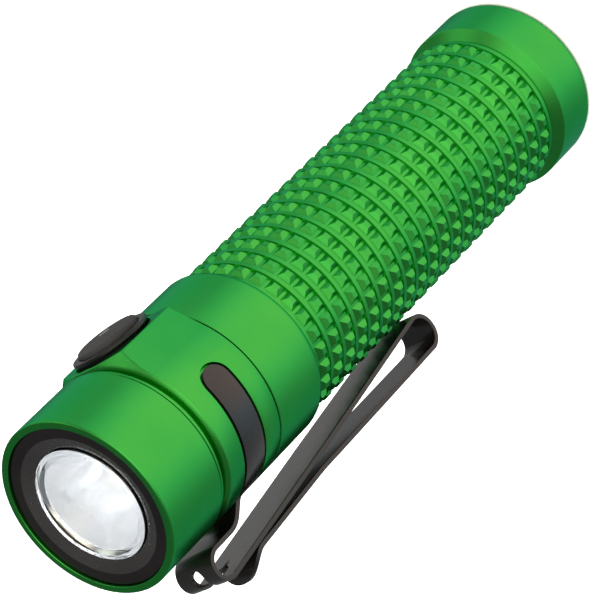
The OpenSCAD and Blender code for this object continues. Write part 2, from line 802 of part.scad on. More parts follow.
// The outer blade, from the middle of the rear loop to the flared lip
module clip_outer() color(STEEL) intersection() {
  clip_strip(concat(
    [rear_split],
    bend(rear_low, rear_high, lean, clip_loop_r),
    bend(rear_high, lean, pinch, lean_r, 4),
    bend(lean, lip_knee, lip_tip, lip_bend_r),
    [lip_tip]
  ));
  translate([0, 0, clip_rear_z - past]) linear_extrude(clip_clear_z - clip_rear_z) lip_plan();
}

bezel();
trim_ring();
tir_lens();
lens_seal();
optic_holder();
led_emitter();
led_board();
led_board_screws();
led_leads();
head_body();
driver_board();
driver_retainer();
front_contact();
head_oring();
button_ring();
button();
indicator_window();
tact_switch();
tact_plunger();
switch_board();
battery_tube();
cell_can();
cell_insulator();
cell_positive_cap();
cell_negative_plate();
tail_cap();
tail_oring();
tail_spring();
tail_board();
tail_magnet();
charge_center_contact();
charge_insulator();
charge_outer_ring();
clip_collar();
clip_blade();
clip_outer();
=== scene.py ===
# %% [markdown]
# A compact pocket flashlight with a knurled green tube, a side button and a folded steel clip.
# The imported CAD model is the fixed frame: it gives the main sizes, the places and every moving body.
# This script only gives the visible pieces finer meshes and real finishes, in the same place.

# %% Load the frame
import json
import math

import bmesh
import bpy
from mathutils import Euler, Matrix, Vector


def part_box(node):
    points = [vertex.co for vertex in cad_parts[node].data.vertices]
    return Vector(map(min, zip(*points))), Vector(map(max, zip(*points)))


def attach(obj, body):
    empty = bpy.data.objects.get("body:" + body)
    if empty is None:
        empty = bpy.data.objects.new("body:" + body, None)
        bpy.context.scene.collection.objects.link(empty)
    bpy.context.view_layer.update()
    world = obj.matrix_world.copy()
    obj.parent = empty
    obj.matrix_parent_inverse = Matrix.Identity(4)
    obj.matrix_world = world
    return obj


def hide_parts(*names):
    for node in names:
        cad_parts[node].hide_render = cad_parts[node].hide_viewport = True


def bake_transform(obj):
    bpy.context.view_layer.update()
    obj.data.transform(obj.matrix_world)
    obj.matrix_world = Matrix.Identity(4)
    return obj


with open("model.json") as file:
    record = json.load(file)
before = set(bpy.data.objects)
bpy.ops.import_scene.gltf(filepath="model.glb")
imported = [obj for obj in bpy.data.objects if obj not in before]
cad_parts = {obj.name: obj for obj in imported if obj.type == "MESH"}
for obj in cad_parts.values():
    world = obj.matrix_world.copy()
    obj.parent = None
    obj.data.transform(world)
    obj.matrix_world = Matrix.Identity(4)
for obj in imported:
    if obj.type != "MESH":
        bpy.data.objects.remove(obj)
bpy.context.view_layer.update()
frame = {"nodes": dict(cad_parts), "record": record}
scene = bpy.context.scene

# %% [markdown]
# Sizes come from the frame's own boxes where a box shows them, so a piece always sits where its node sits.
# Millimetres are easier to read for a thing of this size,
# so lists are in millimetres and are scaled when a mesh is made.

# %% Sizes from the frame
MM = 0.001


def low_high(node):
    """The two corners of a node's box, in millimetres."""
    low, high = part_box(node)
    return low / MM, high / MM


bezel_low, bezel_high = low_high("bezel")
tube_low, tube_high = low_high("battery_tube")
tail_high = low_high("tail_cap")[1]
button_low, button_high = low_high("button")
ring_low, ring_high = low_high("button_ring")
trim_low, trim_high = low_high("trim_ring")
lens_low, lens_high = low_high("tir_lens")
head_r, z_bezel, z_rim = bezel_high.x, bezel_low.z, bezel_high.z
tail_r, z_cap = tail_high.x, tail_high.z
SEAM = 0.1
z_seam = tube_high.z + SEAM
z_button = (button_low.z + button_high.z) / 2
print("head radius %.2f, tail radius %.2f, seam %.2f, rim %.2f mm" % (head_r, tail_r, z_seam, z_rim))

# %% [markdown]
# Most of this light was made on a lathe, so most meshes are a profile turned about an axis.
# A Screw modifier could turn a profile too, but a short function also closes the poles
# and keeps the seam out of the mesh.
# Each corner of a profile may carry a small radius: real edges are never sharp,
# and the radius is what catches the light.

# %% Profiles, turning and meshes
AROUND = 192
HOLD, HOLD_MAX = 0.3, 0.1


def fillet(a, p, b, radius, steps, hold=HOLD):
    """Points of a rounded corner at p, with a holding point on each side unless hold is 0."""
    a, p, b = Vector(a), Vector(p), Vector(b)
    u, v = (a - p).normalized(), (b - p).normalized()
    half = u.angle(v) / 2
    run = radius / math.tan(half)
    centre = p + (u + v).normalized() * radius / math.sin(half)
    start, end = p + u * run - centre, p + v * run - centre
    turn = math.pi - 2 * half
    points = []
    for i in range(steps + 1):
        t = i / steps
        w = (start * math.sin((1 - t) * turn) + end * math.sin(t * turn)) / math.sin(turn)
        points.append(centre + w)
    hold = min(hold * radius, HOLD_MAX)
    before, after = p + u * (run + hold), p + v * (run + hold)
    room = [hold > 0 and (q - p).length > run + 2 * hold for q in (a, b)]
    return [before] * room[0] + points + [after] * room[1]


def rounded(corners, closed=True, steps=4, hold=HOLD):
    """A profile from corners (x, y) or (x, y, radius)."""
    points = []
    last = len(corners) - 1
    for i, corner in enumerate(corners):
        ends = not closed and i in (0, last)
        if len(corner) == 2 or ends:
            points.append(Vector(corner[:2]))
            continue
        a, b = corners[i - 1][:2], corners[(i + 1) % len(corners)][:2]
        points += fillet(a, corner[:2], b, corner[2], steps, hold)
    return points


def piece(name, points, faces, finish, sharp=35):
    """A named mesh object at the origin, with outward faces."""
    mesh = bpy.data.meshes.new(name)
    mesh.from_pydata([Vector(p) * MM for p in points], [], faces)
    bm = bmesh.new()
    bm.from_mesh(mesh)
    bmesh.ops.remove_doubles(bm, verts=bm.verts, dist=1e-7)
    bmesh.ops.dissolve_degenerate(bm, edges=bm.edges, dist=1e-8)
    bmesh.ops.recalc_face_normals(bm, faces=bm.faces)
    bm.to_mesh(mesh)
    bm.free()
    mesh.materials.append(finish)
    mesh.shade_smooth()
    mesh.set_sharp_from_angle(angle=math.radians(sharp))
    made = bpy.data.objects.new(name, mesh)
    scene.collection.objects.link(made)
    return made


def turn_points(profile):
    """Vertices and faces of a closed profile of (radius, height) turned about Z."""
    points, rings, faces = [], [], []
    for r, z in profile:
        if r < 1e-6:
            rings.append([len(points)] * AROUND)
            points.append((0, 0, z))
            continue
        rings.append(list(range(len(points), len(points) + AROUND)))
        for k in range(AROUND):
            a = 2 * math.pi * k / AROUND
            points.append((r * math.cos(a), r * math.sin(a), z))
    for i, ring in enumerate(rings):
        up = rings[(i + 1) % len(rings)]
        for k in range(AROUND):
            n = (k + 1) % AROUND
            corners = list(dict.fromkeys([ring[k], ring[n], up[n], up[k]]))
            if len(corners) > 2:
                faces.append(corners)
    return points, faces


def on_button_axis(points):
    """Moves turned points onto the button's axis, which points to -Y."""
    return [(x, -z, y + z_button) for x, y, z in points]


def turned(name, corners, finish, body, node, place=None):
    """A piece turned from a profile's corners, settled on its body."""
    points, faces = turn_points(rounded(corners))
    made = piece(name, place(points) if place else points, faces, finish)
    settle(made, body, node)
    return made


def settle(made, body, node):
    """The piece moves with a body and, if a node is given, hides that node's CAD mesh in its place."""
    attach(made, body)
    if node:
        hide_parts(node)
    size = made.dimensions / MM
    print("%s: %d faces, %.1f x %.1f x %.1f mm" % (made.name, len(made.data.polygons), *size))


# %% [markdown]
# Finishes are node materials on Object coordinates, so a pattern stays on its piece and keeps its real scale.
# Every finish has a grain in its roughness and its bump: fine blasting under the anodised colour,
# a brushed line in the clip's steel.
# An image texture could hold the same detail, but a procedural one has no seams and no fixed resolution.

# %% A finish with grain
PATCH_EDGES, GRAIN_RANGE, RELIEF_DEPTH = (0.35, 0.65), (0.3, 0.7), 0.1


def finish(name, colour, second, metal, rough, grain, bump=0.05, stretch=(1, 1, 1), patch=90.0, **sockets):
    """A Principled finish: two close colours in soft patches, with a fine grain in roughness and bump.

    patch and grain are noise scales, in cells per metre, and stretch draws the grain out into lines.
    """
    made = bpy.data.materials.new(name)
    made.use_nodes = True
    nodes, links = made.node_tree.nodes, made.node_tree.links
    shader = nodes["Principled BSDF"]
    shader.inputs["Metallic"].default_value = metal
    for key, value in sockets.items():
        shader.inputs[key.replace("_", " ")].default_value = value
    where = nodes.new("ShaderNodeTexCoord")
    drawn_out = nodes.new("ShaderNodeMapping")
    drawn_out.inputs["Scale"].default_value = stretch
    links.new(where.outputs["Object"], drawn_out.inputs["Vector"])
    soft = nodes.new("ShaderNodeTexNoise")
    soft.inputs["Scale"].default_value = patch
    soft.inputs["Detail"].default_value = 3.0
    links.new(where.outputs["Object"], soft.inputs["Vector"])
    ramp = nodes.new("ShaderNodeValToRGB")
    first_stop, last_stop = ramp.color_ramp.elements
    first_stop.position, last_stop.position = PATCH_EDGES
    first_stop.color, last_stop.color = (*colour, 1), (*second, 1)
    links.new(soft.outputs["Fac"], ramp.inputs["Fac"])
    links.new(ramp.outputs["Color"], shader.inputs["Base Color"])
    fine = nodes.new("ShaderNodeTexNoise")
    fine.inputs["Scale"].default_value = grain
    fine.inputs["Detail"].default_value = 2.0
    links.new(drawn_out.outputs["Vector"], fine.inputs["Vector"])
    spread = nodes.new("ShaderNodeMapRange")
    spread.inputs["From Min"].default_value, spread.inputs["From Max"].default_value = GRAIN_RANGE
    spread.inputs["To Min"].default_value, spread.inputs["To Max"].default_value = rough
    links.new(fine.outputs["Fac"], spread.inputs["Value"])
    links.new(spread.outputs["Result"], shader.inputs["Roughness"])
    relief = nodes.new("ShaderNodeBump")
    relief.inputs["Strength"].default_value = bump
    relief.inputs["Distance"].default_value = RELIEF_DEPTH * MM
    links.new(fine.outputs["Fac"], relief.inputs["Height"])
    links.new(relief.outputs["Normal"], shader.inputs["Normal"])
    return made


# %% [markdown]
# Head, tube and tail are anodised aluminium: a metal that tints what it reflects, under a thin clear oxide,
# so the green is metallic with a light coat.
# The clip's coated steel and the black rings have almost no colour of their own:
# they show the room on a dark ground. A metallic black would lose those reflections,
# so they are dark non-metals, and the specular sockets set the bands.

# %% The finishes of this light
green = finish(
    "green_anodised", (0.044, 0.46, 0.070), (0.060, 0.50, 0.072), 1.0, (0.26, 0.36), 6000, 0.08,
    Specular_Tint=(0.10, 0.85, 0.70, 1), Coat_Weight=0.2, Coat_Roughness=0.3)
gunmetal = finish(
    "clip_steel", (0.0045, 0.0038, 0.0034), (0.0065, 0.0055, 0.005), 0.0, (0.20, 0.27), 9000, 0.04,
    stretch=(1, 0.06, 0.06), IOR=1.65, Specular_Tint=(0.88, 0.88, 0.94, 1))
gloss_black = finish(
    "black_ring", (0.003, 0.0025, 0.0025), (0.005, 0.004, 0.004), 0.0, (0.20, 0.28), 7000, 0.04,
    Specular_IOR_Level=0.3)
# The slope's finish is rougher, and its lighter base colour is a painted reflection.
slope_black_painted_reflection = finish(
    "black_ring_slope_painted_reflection", (0.010, 0.009, 0.009), (0.014, 0.013, 0.013), 0.0, (0.24, 0.32), 7000, 0.04)
satin_black = finish(
    "switch_ring", (0.004, 0.004, 0.004), (0.006, 0.006, 0.006), 0.0, (0.20, 0.28), 6000, 0.04,
    Specular_IOR_Level=0.35)
silicone = finish(
    "switch_cap", (0.022, 0.021, 0.022), (0.028, 0.027, 0.028), 0.0, (0.48, 0.60), 8000, 0.10,
    Specular_IOR_Level=0.35)
print("finishes", len(bpy.data.materials))

# %% [markdown]
# The tube is turned, with a smooth band under the head and a thinner neck that the tail screws onto.
# Its grip is a field of small cut pyramids in rows round the tube, with a low turned rib between the rows.
# Hundreds of equal teeth are work for Geometry Nodes: one tooth is instanced on a grid of points
# that the nodes lay round the cylinder, so rows and columns stay plain numbers.

# %% The tube's turned body
ROOT_R, PEAK_R, BORE_R, NECK_R = 10.2, 10.9, 9.4, 10.5
FIT = 0.05
SOCKET_R, SOCKET = NECK_R + FIT, 5.2
BAND = 9.75
KNURL_LEAD, KNURL_END, ROWS, COLUMNS = 0.85, 0.375, 20, 28
FLOOR_R, RIB_R, RIB_W = 10.34, 10.68, 0.74
TOOTH_Z, TOOTH_ROUND = (1.76, 0.78), (1.84, 0.86)
TAIL_NECK_R = ROOT_R - 0.2
z_band = z_seam - BAND
z_shoulder = z_band + 0.1
z_knurl = z_cap + KNURL_LEAD
pitch = (z_band - KNURL_END - z_knurl) / ROWS
oring_z, oring_half, oring_floor = z_cap - 1.0, 0.23, TAIL_NECK_R - 0.4
tube_corners = [
    (BORE_R, tube_low.z), (TAIL_NECK_R, tube_low.z, 0.15), (TAIL_NECK_R, oring_z - oring_half),
    (oring_floor, oring_z - oring_half), (oring_floor, oring_z + oring_half),
    (TAIL_NECK_R, oring_z + oring_half), (TAIL_NECK_R, z_cap),
    (ROOT_R, z_cap), (ROOT_R, z_knurl - 0.55, 0.05),
]
for i in range(ROWS):
    rib_high = z_knurl + pitch * (i + 0.5) - TOOTH_Z[0] / 2 - 0.02
    rib_low = rib_high - RIB_W
    tube_corners += [
        (FLOOR_R, rib_low - 0.08), (RIB_R, rib_low + 0.06, 0.06),
        (RIB_R, rib_high - 0.05, 0.03), (FLOOR_R, rib_high + 0.04),
    ]
tube_corners += [
    (FLOOR_R, z_shoulder, 0.06), (FLOOR_R + 0.04, z_shoulder), (head_r, z_shoulder, head_r - FLOOR_R - 0.1),
    (head_r, tube_high.z, 0.12), (SOCKET_R, tube_high.z, 0.12),
    (SOCKET_R, z_seam - SOCKET), (BORE_R, z_seam - SOCKET),
]
tube_points, tube_faces = turn_points(rounded(tube_corners))
tube = piece("knurled_tube", tube_points, tube_faces, green)
print("knurl pitch %.3f mm over %d rows" % (pitch, ROWS))

# %% One tooth of the knurl
TOOTH_H = PEAK_R - FLOOR_R
SUNK, TIP_DROP, TIP_INSET = 0.08, 0.04, 0.06


def tooth_mesh():
    """A cut pyramid that points to +X, from just below the tube's surface to a slightly rounded top."""
    points = []
    side_top = TOOTH_H - TIP_DROP
    for height, inset in [(-SUNK, -SUNK), (side_top, side_top), (TOOTH_H, TOOTH_H + TIP_INSET)]:
        t = inset / TOOTH_H
        y = (TOOTH_ROUND[0] + (TOOTH_ROUND[1] - TOOTH_ROUND[0]) * t) / 2
        z = (TOOTH_Z[0] + (TOOTH_Z[1] - TOOTH_Z[0]) * t) / 2
        points += [(height, -y, -z), (height, y, -z), (height, y, z), (height, -y, z)]
    faces = [(0, 3, 2, 1), (8, 9, 10, 11)]
    for level in (0, 4):
        for k in range(4):
            n = (k + 1) % 4
            faces.append((level + k, level + n, level + 4 + n, level + 4 + k))
    return piece("tooth", points, faces, green, sharp=18)


tooth = tooth_mesh()
print("a tooth has", len(tooth.data.polygons), "faces")


# %% The knurl's node tree
def new_tree(name, inputs):
    """An empty geometry tree with a geometry input, named inputs and a geometry output."""
    tree = bpy.data.node_groups.new(name, "GeometryNodeTree")
    tree.interface.new_socket("Geometry", in_out="INPUT", socket_type="NodeSocketGeometry")
    for label, kind in inputs:
        tree.interface.new_socket(label, in_out="INPUT", socket_type="NodeSocket" + kind)
    tree.interface.new_socket("Geometry", in_out="OUTPUT", socket_type="NodeSocketGeometry")
    return tree, tree.nodes.new("NodeGroupInput"), tree.nodes.new("NodeGroupOutput")


def math_node(tree, operation, a, b=None):
    """A Math node that takes sockets or numbers; returns its output."""
    node = tree.nodes.new("ShaderNodeMath")
    node.operation = operation
    for socket, value in zip(node.inputs, (a, b)):
        if isinstance(value, bpy.types.NodeSocket):
            tree.links.new(value, socket)
        elif value is not None:
            socket.default_value = value
    return node.outputs["Value"]


def knurl_tree():
    """Lays rows and columns of points round a cylinder and sets a tooth on each, facing outwards."""
    tree, given, result = new_tree("knurl", [
        ("Tooth", "Object"), ("Rows", "Int"), ("Columns", "Int"), ("Row pitch", "Float"),
        ("First row", "Float"), ("Radius", "Float"), ("First angle", "Float"), ("Material", "Material")])
    nodes, links, value = tree.nodes, tree.links, given.outputs
    index = nodes.new("GeometryNodeInputIndex").outputs["Index"]
    row = math_node(tree, "FLOOR", math_node(tree, "DIVIDE", index, value["Columns"]))
    column = math_node(tree, "MODULO", index, value["Columns"])
    step = math_node(tree, "DIVIDE", 2 * math.pi, value["Columns"])
    angle = math_node(tree, "ADD", value["First angle"], math_node(tree, "MULTIPLY", column, step))
    place = nodes.new("ShaderNodeCombineXYZ")
    for axis, wave in (("X", "COSINE"), ("Y", "SINE")):
        across = math_node(tree, "MULTIPLY", value["Radius"], math_node(tree, wave, angle))
        links.new(across, place.inputs[axis])
    height = math_node(tree, "ADD", value["First row"], math_node(tree, "MULTIPLY", row, value["Row pitch"]))
    links.new(height, place.inputs["Z"])
    facing = nodes.new("ShaderNodeCombineXYZ")
    links.new(angle, facing.inputs["Z"])
    dots = nodes.new("GeometryNodePoints")
    links.new(math_node(tree, "MULTIPLY", value["Rows"], value["Columns"]), dots.inputs["Count"])
    links.new(place.outputs["Vector"], dots.inputs["Position"])
    shape = nodes.new("GeometryNodeObjectInfo")
    links.new(value["Tooth"], shape.inputs["Object"])
    teeth = nodes.new("GeometryNodeInstanceOnPoints")
    links.new(dots.outputs["Points"], teeth.inputs["Points"])
    links.new(shape.outputs["Geometry"], teeth.inputs["Instance"])
    links.new(facing.outputs["Vector"], teeth.inputs["Rotation"])
    both = nodes.new("GeometryNodeJoinGeometry")
    links.new(teeth.outputs["Instances"], both.inputs["Geometry"])
    links.new(value["Geometry"], both.inputs["Geometry"])
    real = nodes.new("GeometryNodeRealizeInstances")
    links.new(both.outputs["Geometry"], real.inputs["Geometry"])
    paint = nodes.new("GeometryNodeSetMaterial")
    links.new(real.outputs["Geometry"], paint.inputs["Geometry"])
    links.new(value["Material"], paint.inputs["Material"])
    links.new(paint.outputs["Geometry"], result.inputs["Geometry"])
    return tree


def run_tree(obj, tree, values):
    """Runs a tree on an object once and keeps the result as its plain mesh."""
    modifier = obj.modifiers.new(tree.name, "NODES")
    modifier.node_group = tree
    for item in tree.interface.items_tree:
        if item.in_out == "INPUT" and item.name in values:
            modifier[item.identifier] = values[item.name]
    obj.update_tag()
    bpy.context.view_layer.update()
    made = obj.evaluated_get(bpy.context.evaluated_depsgraph_get())
    mesh = bpy.data.meshes.new_from_object(made)
    obj.modifiers.remove(modifier)
    obj.data = mesh
    return mesh


# %% Knurl the tube
KNURL_TURN = 8.4
FIRST_ANGLE = math.radians(KNURL_TURN + 0.5 * 360 / COLUMNS)
run_tree(tube, knurl_tree(), {
    "Tooth": tooth, "Rows": ROWS, "Columns": COLUMNS, "Row pitch": pitch * MM,
    "First row": (z_knurl + pitch / 2) * MM, "Radius": FLOOR_R * MM,
    "First angle": FIRST_ANGLE, "Material": green})
bpy.data.objects.remove(tooth)
settle(tube, "tube", "battery_tube")

# %% [markdown]
# The tail is a short cup that screws onto the tube, flared at its front edge and flat behind,
# so that the light can stand on it.
# It is one turned profile: the pocket in its end face holds the charging contacts.

# %% The tail cap
CHARGE_R, CHARGE_T, MAGNET_R, CONTACT_R = 7.4, 1.0, 7.2, 3.43
Z_MAGNET, Z_BOARD = 1.6, 3.7
FLARE = 1.0
CAP_BORE_R = TAIL_NECK_R + FIT
turned("tail_cap_turned", [
    (CHARGE_R, 0, 0.12), (tail_r, 0, 0.7), (tail_r, z_cap - FLARE, 0.18), (ROOT_R + 0.04, z_cap, 0.05),
    (CAP_BORE_R, z_cap), (CAP_BORE_R, Z_BOARD), (MAGNET_R, Z_BOARD), (MAGNET_R, Z_MAGNET),
    (CONTACT_R, Z_MAGNET), (CONTACT_R, CHARGE_T), (CHARGE_R, CHARGE_T),
], green, "tube", "tail_cap")

# %% [markdown]
# The head's side is a cylinder with one flat for the button, a slot for the clip's collar
# and a groove in front.
# A boolean could cut the slot and the seat, but it leaves long thin faces that shade badly.
# Instead the wall is laid out in upright columns: each opening takes its edge from the columns that cross it,
# so every edge can have its own small radius.

# %% The head's outline as columns
FLAT_D, FLAT_HALF = 11.3, 5.53
COLLAR_W, COLLAR_GAP, COLLAR_DEPTH, COLLAR_REACH = 3.8, 0.35, 0.68, 102.5
EDGE, QUARTER_MID = 0.12, 0.29
SEAT_R, SEAT_DEPTH, FACET_ROUND = 5.11, 1.4, 0.30
SEAT_STEPS, SLOT_STEPS, SLOT_END_STEPS, PLAIN_STEPS, SLOT_MARGIN = 36, 100, 14, 8, 0.8
VALLEY_R, LAND_R = head_r - 1.1, head_r - 0.2
z_land = z_bezel - SEAM
z_valley = z_land - 0.6
z_collar = z_button + 0.1
corner_r = math.hypot(FLAT_HALF, FLAT_D)
touch = math.degrees(math.atan2(FLAT_HALF, FLAT_D) + math.acos(head_r / corner_r))
slot_half = COLLAR_W / 2 + COLLAR_GAP


def flat_column(x, hole):
    """A column on the flat, with its place on the seat's edge."""
    return {"at": (x, -FLAT_D), "out": (0, -1), "hole": hole}


def arc_column(degrees, hole=None):
    """A column on the cylinder, with its place on the slot's edge if it crosses the slot."""
    a = math.radians(degrees)
    out = (math.cos(a), math.sin(a))
    return {"at": (head_r * out[0], head_r * out[1]), "out": out, "hole": hole}


def round_steps(count):
    """Angles of a quarter circle in equal steps."""
    return [math.pi / 2 * i / count for i in range(count + 1)]


def seat_columns():
    """Columns over the flat: each holds the seat's edge below and above, as an angle on its circle."""
    r = SEAT_R + EDGE
    angles = [math.pi - 2 * a for a in round_steps(SEAT_STEPS)]
    return [flat_column(r * math.cos(a), a) for a in angles]


def slot_columns():
    """Columns over the collar's slot, with round ends of the slot's own half width."""
    r = slot_half + EDGE
    columns = []
    start, end = 90 - COLLAR_REACH, 90 + COLLAR_REACH
    for a in round_steps(SLOT_END_STEPS):
        columns.append(arc_column(start - math.degrees(r * math.cos(a) / head_r), (start, math.pi - a)))
    for i in range(1, SLOT_STEPS):
        degrees = start + (end - start) * i / SLOT_STEPS
        columns.append(arc_column(degrees, (degrees, math.pi / 2)))
    for a in reversed(round_steps(SLOT_END_STEPS)):
        columns.append(arc_column(end + math.degrees(r * math.cos(a) / head_r), (end, a)))
    return columns


def facet_columns(side):
    """Columns from the flat's edge to where its facet meets the cylinder, with a rounded upright edge."""
    edge = Vector((side * FLAT_HALF, -FLAT_D))
    a = math.radians(-90 + side * touch)
    meet = head_r * Vector((math.cos(a), math.sin(a)))
    points = fillet((0, -FLAT_D), edge, meet, FACET_ROUND, 5)
    points += [points[-1].lerp(meet, t) for t in (0.3, 0.6, 0.9, 0.995)]
    columns = []
    for i, p in enumerate(points):
        q = points[min(i + 1, len(points) - 1)] - points[max(i - 1, 0)]
        out = Vector((q.y, -q.x)).normalized() * side
        columns.append({"at": tuple(p), "out": tuple(out), "hole": None})
    return columns if side > 0 else columns[::-1]


def plain_columns(start, end):
    """Columns over the cylinder between the facet and the slot."""
    return [arc_column(start + (end - start) * i / PLAIN_STEPS) for i in range(PLAIN_STEPS + 1)]


slot_list = slot_columns()
seat_list = seat_columns()
first = math.degrees(math.atan2(slot_list[0]["at"][1], slot_list[0]["at"][0]))
columns = seat_list + facet_columns(1) + plain_columns(-90 + touch, first - SLOT_MARGIN)
columns += slot_list + plain_columns(180 - first + SLOT_MARGIN, 270 - touch) + facet_columns(-1)
print("head outline: %d columns, facet meets the cylinder at %.1f degrees" % (len(columns), touch))


# %% The head's wall with its two openings
class Sheet:
    """Collects points and faces for one mesh."""

    def __init__(self):
        self.points, self.faces = [], []

    def add(self, points):
        """Keeps the points and returns their numbers."""
        start = len(self.points)
        self.points += [tuple(p) for p in points]
        return list(range(start, len(self.points)))

    def bridge(self, a, b, closed=True):
        """Faces between two rows of equal length."""
        count = len(a)
        for i in range(count if closed else count - 1):
            n = (i + 1) % count
            corners = list(dict.fromkeys([a[i], a[n], b[n], b[i]]))
            if len(corners) > 2:
                self.faces.append(corners)


head = Sheet()


def column_top(column):
    """Height at which the groove's cone cuts this column."""
    return z_valley - (math.hypot(*column["at"]) - VALLEY_R)


def wall_ring(inset, height):
    """The outline moved in by inset, at the height that each column gets."""
    points = []
    for c in columns:
        (x, y), (out_x, out_y) = c["at"], c["out"]
        points.append((x - out_x * inset, y - out_y * inset, height(c)))
    return head.add(points)


def circle_ring(r, z):
    """A round ring with one point for each column."""
    points = []
    for c in columns:
        a = math.atan2(c["at"][1], c["at"][0])
        points.append((r * math.cos(a), r * math.sin(a), z))
    return head.add(points)


def seat_point(column, sign, grow, depth):
    """A point of the button's seat, below or above its middle by sign."""
    a = column["hole"]
    r = SEAT_R + grow
    return (r * math.cos(a), -FLAT_D + depth, z_button + sign * r * math.sin(a))


def slot_point(column, sign, grow, depth):
    """A point of the collar's slot, below or above its middle by sign."""
    degrees, a = column["hole"]
    r = slot_half + grow
    turn = math.radians(degrees) + r * math.cos(a) / head_r
    sunk_r = head_r - depth
    return (sunk_r * math.cos(turn), sunk_r * math.sin(turn), z_collar + sign * r * math.sin(a))


def opening(list_of_columns, point, depth):
    """Adds an opening's edge, wall and floor, and tells its columns where their edge points are."""
    loops = [(EDGE, 0.0), (EDGE * QUARTER_MID, EDGE * QUARTER_MID), (0.0, EDGE), (0.0, depth)]
    count = len(list_of_columns)
    sides = []
    for grow, sunk in loops:
        low = head.add([point(c, -1, grow, sunk) for c in list_of_columns])
        high = head.add([point(c, 1, grow, sunk) for c in list_of_columns])
        low[0], low[-1] = high[0], high[-1]
        sides.append((low, high))
    for (low, high), (low_in, high_in) in zip(sides, sides[1:]):
        head.bridge(low, low_in, closed=False)
        head.bridge(high_in, high, closed=False)
    head.bridge(sides[-1][0], sides[-1][1], closed=False)
    for i, c in enumerate(list_of_columns):
        c["low"], c["high"] = sides[0][0][i], sides[0][1][i]
        c["tip"] = i in (0, count - 1)


opening(seat_list, seat_point, SEAT_DEPTH)
opening(slot_list, slot_point, COLLAR_DEPTH)
z_low = z_seam + 0.08
bottom = wall_ring(0.0, lambda c: z_low + EDGE)
top = wall_ring(0.0, lambda c: column_top(c) - 0.6 * EDGE)
for i, c in enumerate(columns):
    n = (i + 1) % len(columns)
    d = columns[n]
    inside = "low" in c and "low" in d and not (c["tip"] and d["tip"])
    if inside:
        head.faces.append(list(dict.fromkeys([bottom[i], bottom[n], d["low"], c["low"]])))
        head.faces.append(list(dict.fromkeys([c["high"], d["high"], top[n], top[i]])))
    else:
        right = [d["low"]] if d.get("tip") else []
        left = [c["low"]] if c.get("tip") else []
        head.faces.append([bottom[i], bottom[n], *right, top[n], top[i], *left])
print("head wall:", len(head.faces), "faces")

# %% [markdown]
# In front the wall ends at a groove: it is cut in at 45 degrees and flattens to a cove,
# which keeps a soft shade.
# Inside the bezel the head goes on as a spigot, and below the seam as the threaded neck with its seal's groove.
# The rest of the head is round, so more rings follow, each with one point per column, up to the middle.

# %% The head's groove, spigot and neck
z_web, z_led_board = z_valley - 2.4, z_valley - 0.8
spigot_r, z_spigot = BORE_R + 0.8, z_land + 3.8
neck_core_r = NECK_R - 0.35
ring_z, ring_half, ring_floor = z_seam - 1.0, 0.38, NECK_R - 0.59
z_neck = z_seam - 5.0
ring_list = [
    wall_ring(0.0, lambda c: column_top(c) - 0.3 * EDGE),
    wall_ring(0.35 * EDGE, lambda c: column_top(c) + 0.3 * EDGE),
    wall_ring(0.9 * EDGE, lambda c: column_top(c) + 0.9 * EDGE),
]
z_cone = z_valley - (head_r - VALLEY_R)
COVE, COVE_BOW = 0.64, 0.375
cove = [
    (head_r - x, z_cone + x - COVE_BOW * x * x / COVE)
    for x in (0.14, 0.2, 0.26, 0.32, 0.4, 0.5, COVE)
]
upper = rounded(cove + [
    (VALLEY_R, z_cone + 0.52, 0.12), (VALLEY_R, z_valley, 0.05),
    (LAND_R, z_valley + 0.15, 0.10), (LAND_R, z_land - 0.07, 0.10),
    (spigot_r, z_land - 0.03), (spigot_r, z_spigot, 0.15),
    (BORE_R, z_spigot), (BORE_R, z_led_board), (0.01, z_led_board),
], closed=False)
chain = [top] + ring_list + [circle_ring(r, z) for r, z in upper]
lower = rounded([
    (NECK_R + 0.3, z_low), (NECK_R, z_low), (NECK_R, ring_z + ring_half), (ring_floor, ring_z + ring_half),
    (ring_floor, ring_z - ring_half), (NECK_R, ring_z - ring_half), (NECK_R, ring_z - ring_half - 0.3),
    (neck_core_r, ring_z - ring_half - 0.6), (neck_core_r, z_neck, 0.1),
    (BORE_R, z_neck), (BORE_R, z_web), (0.01, z_web),
], closed=False)
down = [
    bottom, wall_ring(QUARTER_MID * EDGE, lambda c: z_low + QUARTER_MID * EDGE),
    wall_ring(EDGE, lambda c: z_low),
]
down += [circle_ring(r, z) for r, z in lower]
for a, b in zip(chain, chain[1:]):
    head.bridge(a, b)
for a, b in zip(down, down[1:]):
    head.bridge(b, a)
head.faces += [chain[-1], down[-1][::-1]]
head_piece = piece("head_turned", head.points, head.faces, green)
settle(head_piece, "head", "head_body")

# %% [markdown]
# The neck's screw thread shows when the head is unscrewed. A thread is a ridge that follows a helix:
# Geometry Nodes draw a spiral curve and sweep a small square along it, set on its corner
# and half sunk in the neck, so a pointed ridge stands out. Radius, turns, height and depth are inputs.

# %% The neck's thread
THREAD_PITCH, THREAD_TURNS, THREAD_DEPTH, THREAD_LEAD = 1.0, 2.9, 0.33, 0.4


